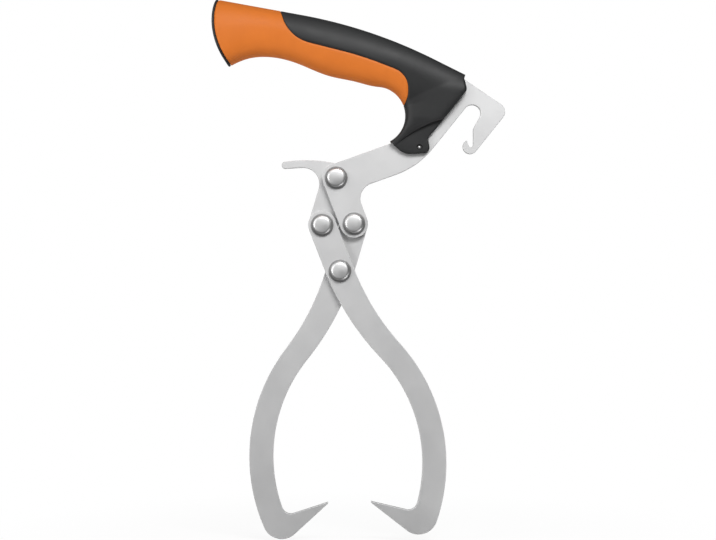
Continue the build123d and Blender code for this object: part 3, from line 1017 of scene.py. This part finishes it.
def grain_group():
    """Fine surface grain: a height for bump and a mottle for colour and gloss."""
    tree = bpy.data.node_groups.new("surface_grain", "ShaderNodeTree")
    noises = (
        ("Grain Scale", "Height", grain_detail, grain_roughness),
        ("Mottle Scale", "Mottle", mottle_detail, mottle_roughness))
    for scale, result, detail, rough in noises:
        tree.interface.new_socket(scale, in_out="INPUT", socket_type="NodeSocketFloat")
        tree.interface.new_socket(result, in_out="OUTPUT", socket_type="NodeSocketFloat")
    given = tree.nodes.new("NodeGroupInput")
    results = tree.nodes.new("NodeGroupOutput")
    place = tree.nodes.new("ShaderNodeTexCoord")
    for scale, result, detail, rough in noises:
        noise = add(tree, "ShaderNodeTexNoise", Detail=detail, Roughness=rough)
        tree.links.new(place.outputs["Object"], noise.inputs["Vector"])
        tree.links.new(given.outputs[scale], noise.inputs["Scale"])
        tree.links.new(noise.outputs["Fac"], results.inputs[result])
    return tree


grain = grain_group()


def start_material(name):
    """New material and its shader."""
    material = bpy.data.materials.new(name)
    material.use_nodes = True
    return material, material.node_tree.nodes["Principled BSDF"]


def start_look(name, look):
    """Material with a look's bump, its shader and its mottle."""
    material, shader = start_material(name)
    tree = material.node_tree
    surface = tree.nodes.new("ShaderNodeGroup")
    surface.node_tree = grain
    surface.inputs["Grain Scale"].default_value = look["grain"]
    surface.inputs["Mottle Scale"].default_value = look["mottle"]
    bump = add(tree, "ShaderNodeBump", Strength=look["bump"], Distance=look["depth"] * MM)
    tree.links.new(surface.outputs["Height"], bump.inputs["Height"])
    tree.links.new(bump.outputs["Normal"], shader.inputs["Normal"])
    return material, shader, surface.outputs["Mottle"]


def mottled_colour(tree, mottle, look):
    """Colour between a look's dark and light one."""
    return colour_mix(tree, mottle, look["dark"], look["light"])


def mottled_roughness(tree, mottle, look):
    """Roughness between a look's smooth and rough end."""
    return ramp(tree, mottle, mottle_low, mottle_high, look["smooth"], look["rough"], "LINEAR")


def read_mark(tree, name):
    """Mask of the places that a mesh marks under a name."""
    return add(tree, "ShaderNodeAttribute", attribute_name=name).outputs["Fac"]


def plate_steel():
    """Satin plate: fine tumbled grain, slight blotches, dull broken edges darkened with painted shade,
    and darker cut edges.
    """
    material, shader, mottle = start_look("satin_plate_steel", plate_look)
    tree = material.node_tree
    broken = read_mark(tree, "broken_edge")
    cut = read_mark(tree, "cut_edge")
    # Broken edges darker: painted shade
    base = colour_mix(tree, broken, mottled_colour(tree, mottle, plate_look), broken_edge_shade_colour)
    tree.links.new(colour_mix(tree, cut, base, cut_edge_colour), shader.inputs["Base Color"])
    rough = by_mask(tree, broken, mottled_roughness(tree, mottle, plate_look), plate_edge_roughness)
    tree.links.new(by_mask(tree, cut, rough, plate_edge_roughness), shader.inputs["Roughness"])
    tree.links.new(by_mask(tree, broken, 1.0, broken_edge_metal), shader.inputs["Metallic"])
    return material


def rivet_steel():
    """Bright rivet: smooth dome, and round it a dull flange darkened with painted shade."""
    material, shader, mottle = start_look("bright_rivet_steel", rivet_look)
    tree = material.node_tree
    # Mask of the rim that gets painted shade
    flange = read_mark(tree, "flange")
    dome_edge = read_mark(tree, "dome_edge")
    tree.links.new(colour_mix(tree, flange, rivet_colour, rivet_rim_painted_shade), shader.inputs["Base Color"])
    rough = by_mask(tree, dome_edge, mottled_roughness(tree, mottle, rivet_look), dome_edge_roughness)
    tree.links.new(by_mask(tree, flange, rough, flange_roughness), shader.inputs["Roughness"])
    shader.inputs["Metallic"].default_value = 1.0
    return material


def moulded(name, look):
    """Matt moulded plastic or rubber with a fine grain, duller where it turns away."""
    material, shader, mottle = start_look(name, look)
    tree = material.node_tree
    tree.links.new(mottled_colour(tree, mottle, look), shader.inputs["Base Color"])
    turned_away = tree.nodes.new("ShaderNodeLayerWeight").outputs["Facing"]
    rough = mottled_roughness(tree, mottle, look)
    rough = ramp(tree, turned_away, turned_start, turned_full, rough, 1.0)
    tree.links.new(rough, shader.inputs["Roughness"])
    shader.inputs["Specular IOR Level"].default_value = look["gloss"]
    return material


def mark_from(mesh, pivot, name, diameter):
    """Marks a round piece from a diameter outwards."""
    layer = mesh.verts.layers.float.new(name)
    for vert in mesh.verts:
        radius = sqrt((vert.co.x / MM - pivot.x) ** 2 + (vert.co.z / MM - pivot.y) ** 2)
        vert[layer] = 1.0 if radius > diameter / 2 else 0.0


def build_handle(black, orange, bright):
    """Soft sleeve, hard core, butt cap, collar and pin."""
    stations = handle_stations()
    sleeve = sleeve_mesh(stations)
    grip = piece("soft_grip_sleeve", sleeve, orange, "handle", ["grip_sleeve"])
    wall = grip.modifiers.new("wall", "SOLIDIFY")
    wall.thickness = (sleeve_seat - sleeve_play) * MM
    wall.offset = -1  # inwards
    core = core_mesh(stations)
    piece("moulded_core", core, black, "handle", ["handle_core"], core_sharp_angle)
    piece("round_butt_cap", cap_mesh(), black, "handle", ["pommel_cap"], cap_sharp_angle)
    piece("arm_collar", collar_mesh(), black, "handle", [])
    pin = pin_mesh()
    # Outer ring of the pin, darkened with painted shade
    mark_from(pin, Vector((pin_x, pin_z)), "flange", pin_bright)
    piece("round_collar_pin", pin, bright, "handle", ["collar_pin"])


def build_steel(satin, bright):
    """Plates of the linkage, and the rivets and washers at its pivots."""
    plates = (
        ("handle_plate", "handle"), ("trigger_link", "trigger"),
        ("right_jaw", "right_jaw"), ("left_jaw", "left_jaw"))
    for node, body in plates:
        smooth_copy(node, satin, body)
    pivots = (("top", "handle"), ("right", "handle"), ("left", "right_jaw"), ("bottom", "right_jaw"))
    for name, body in pivots:
        low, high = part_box(name + "_rivet")
        pivot = Vector(((low[0] + high[0]) / 2, (low[2] + high[2]) / 2)) / MM
        head = rivet_mesh(pivot)
        mark_from(head, pivot, "dome_edge", smooth_edge_diameter)
        # Rim of the head that is darkened with painted shade
        mark_from(head, pivot, "flange", painted_shade_ring_diameter)
        piece(name + "_rivet_head", head, bright, body, [name + "_rivet"])
        piece(name + "_rivet_tail", rivet_tail_mesh(pivot), bright, body, [])
        piece(name + "_rivet_washer", washer_mesh(pivot), bright, body, [name + "_washer"])


def ray_masks(tree):
    """Masks of the rays that show the backdrop as it is, and of those that mirror it."""
    path = tree.nodes.new("ShaderNodeLightPath")
    camera = path.outputs["Is Camera Ray"]
    shown = combined(tree, "MAXIMUM", camera, path.outputs["Is Transmission Ray"])
    return shown, path.outputs["Is Glossy Ray"]


def build_world():
    """White backdrop, the studio's level where shiny pieces mirror it, and ambient light."""
    world = bpy.data.worlds.new("studio")
    bpy.context.scene.world = world
    world.use_nodes = True
    tree = world.node_tree
    background = tree.nodes["Background"]
    background.inputs["Color"].default_value = (1, 1, 1, 1)
    way = tree.nodes.new("ShaderNodeTexCoord").outputs["Generated"]
    lean = radians(top_lean)
    up = measured(tree, "DOT_PRODUCT", way, (-sin(lean), 0, cos(lean)))
    back = measured(tree, "DOT_PRODUCT", way, (0, 1, 0))
    rise = ramp(tree, up, 0.0, top_share, horizon_level, top_level)
    behind = ramp(tree, back, back_start, back_full, 1.0, back_share)
    studio = combined(tree, "MULTIPLY", rise, behind)
    shown, mirrored = ray_masks(tree)
    level = by_mask(tree, mirrored, by_mask(tree, shown, ambient_level, 1.0), studio)
    tree.links.new(level, background.inputs["Strength"])


def floor_material():
    """White that lets through the floor's own shade, and so the object's shadow, near the object."""
    material, shader = start_material("pale_floor")
    tree = material.node_tree
    feed(tree, floor_colour, shader.inputs["Base Color"])
    shader.inputs["Roughness"].default_value = floor_roughness
    place = tree.nodes.new("ShaderNodeTexCoord").outputs["Object"]
    away = measured(tree, "DISTANCE", place, (view_centre_x * MM, 0, cad_box[0][2]))
    clear = ramp(tree, away, shadow_near, shadow_far, 1.0 - shadow_share, 1.0)
    shown, mirrored = ray_masks(tree)
    share = combined(tree, "MULTIPLY", combined(tree, "MAXIMUM", shown, mirrored), clear)
    from_card = measured(tree, "DISTANCE", place, (card_x, card_y, cad_box[0][2]))
    card = ramp(tree, from_card, card_fade_start, card_fade_end, card_level, 0.0)
    studio = ramp(tree, away, 0.0, horizon_reach, near_floor_level, horizon_level)
    studio = combined(tree, "MAXIMUM", studio, card)
    white = tree.nodes.new("ShaderNodeEmission")
    tree.links.new(by_mask(tree, mirrored, 1.0, studio), white.inputs["Strength"])
    mix = tree.nodes.new("ShaderNodeMixShader")
    for count, source in enumerate((share, shader.outputs["BSDF"], white.outputs["Emission"])):
        tree.links.new(source, mix.inputs[count])
    tree.links.new(mix.outputs["Shader"], tree.nodes["Material Output"].inputs["Surface"])
    return material


def build_floor():
    """Floor under the tips of the jaws."""
    mesh = bmesh.new()
    bmesh.ops.create_grid(mesh, x_segments=1, y_segments=1, size=floor_half)
    bmesh.ops.translate(mesh, verts=mesh.verts[:], vec=(0, 0, cad_box[0][2] - floor_gap * MM))
    floor = mesh_in_scene("floor", mesh, floor_material())


def softbox(name, turn, rise, width, height, watts):
    """Soft rectangular lamp at angles round and above the view axis, turned to the object."""
    lamp = bpy.data.lights.new(name, "AREA")
    lamp.shape = "RECTANGLE"
    lamp.size = width
    lamp.size_y = height
    lamp.energy = watts
    thing = in_scene(name, lamp)
    turn = radians(turn)
    rise = radians(rise)
    out = Vector((sin(turn) * cos(rise), -cos(turn) * cos(rise), sin(rise)))
    thing.location = Vector((view_centre_x, 0, view_centre_z)) * MM + out * lamp_distance
    thing.rotation_euler = (-out).to_track_quat("-Z", "Y").to_euler()


def build_camera():
    """Camera that sees what the photograph shows."""
    lens = bpy.data.cameras.new("photo_view")
    lens.sensor_fit = "HORIZONTAL"
    lens.sensor_width = sensor_width
    lens.lens = sensor_width * view_distance / (image_width * mm_per_pixel)
    camera = in_scene("photo_view", lens)
    camera.location = Vector((view_centre_x, -view_distance, view_centre_z)) * MM
    camera.rotation_euler = (pi / 2, 0, 0)
    bpy.context.scene.camera = camera


bpy.context.scene.view_settings.view_transform = "Standard"
bright = rivet_steel()
black = moulded("black_moulded_plastic", black_look)
orange = moulded("orange_soft_grip", orange_look)
build_handle(black, orange, bright)
build_steel(plate_steel(), bright)
build_world()
build_floor()
for lamp in lamps:
    softbox(*lamp)
build_camera()
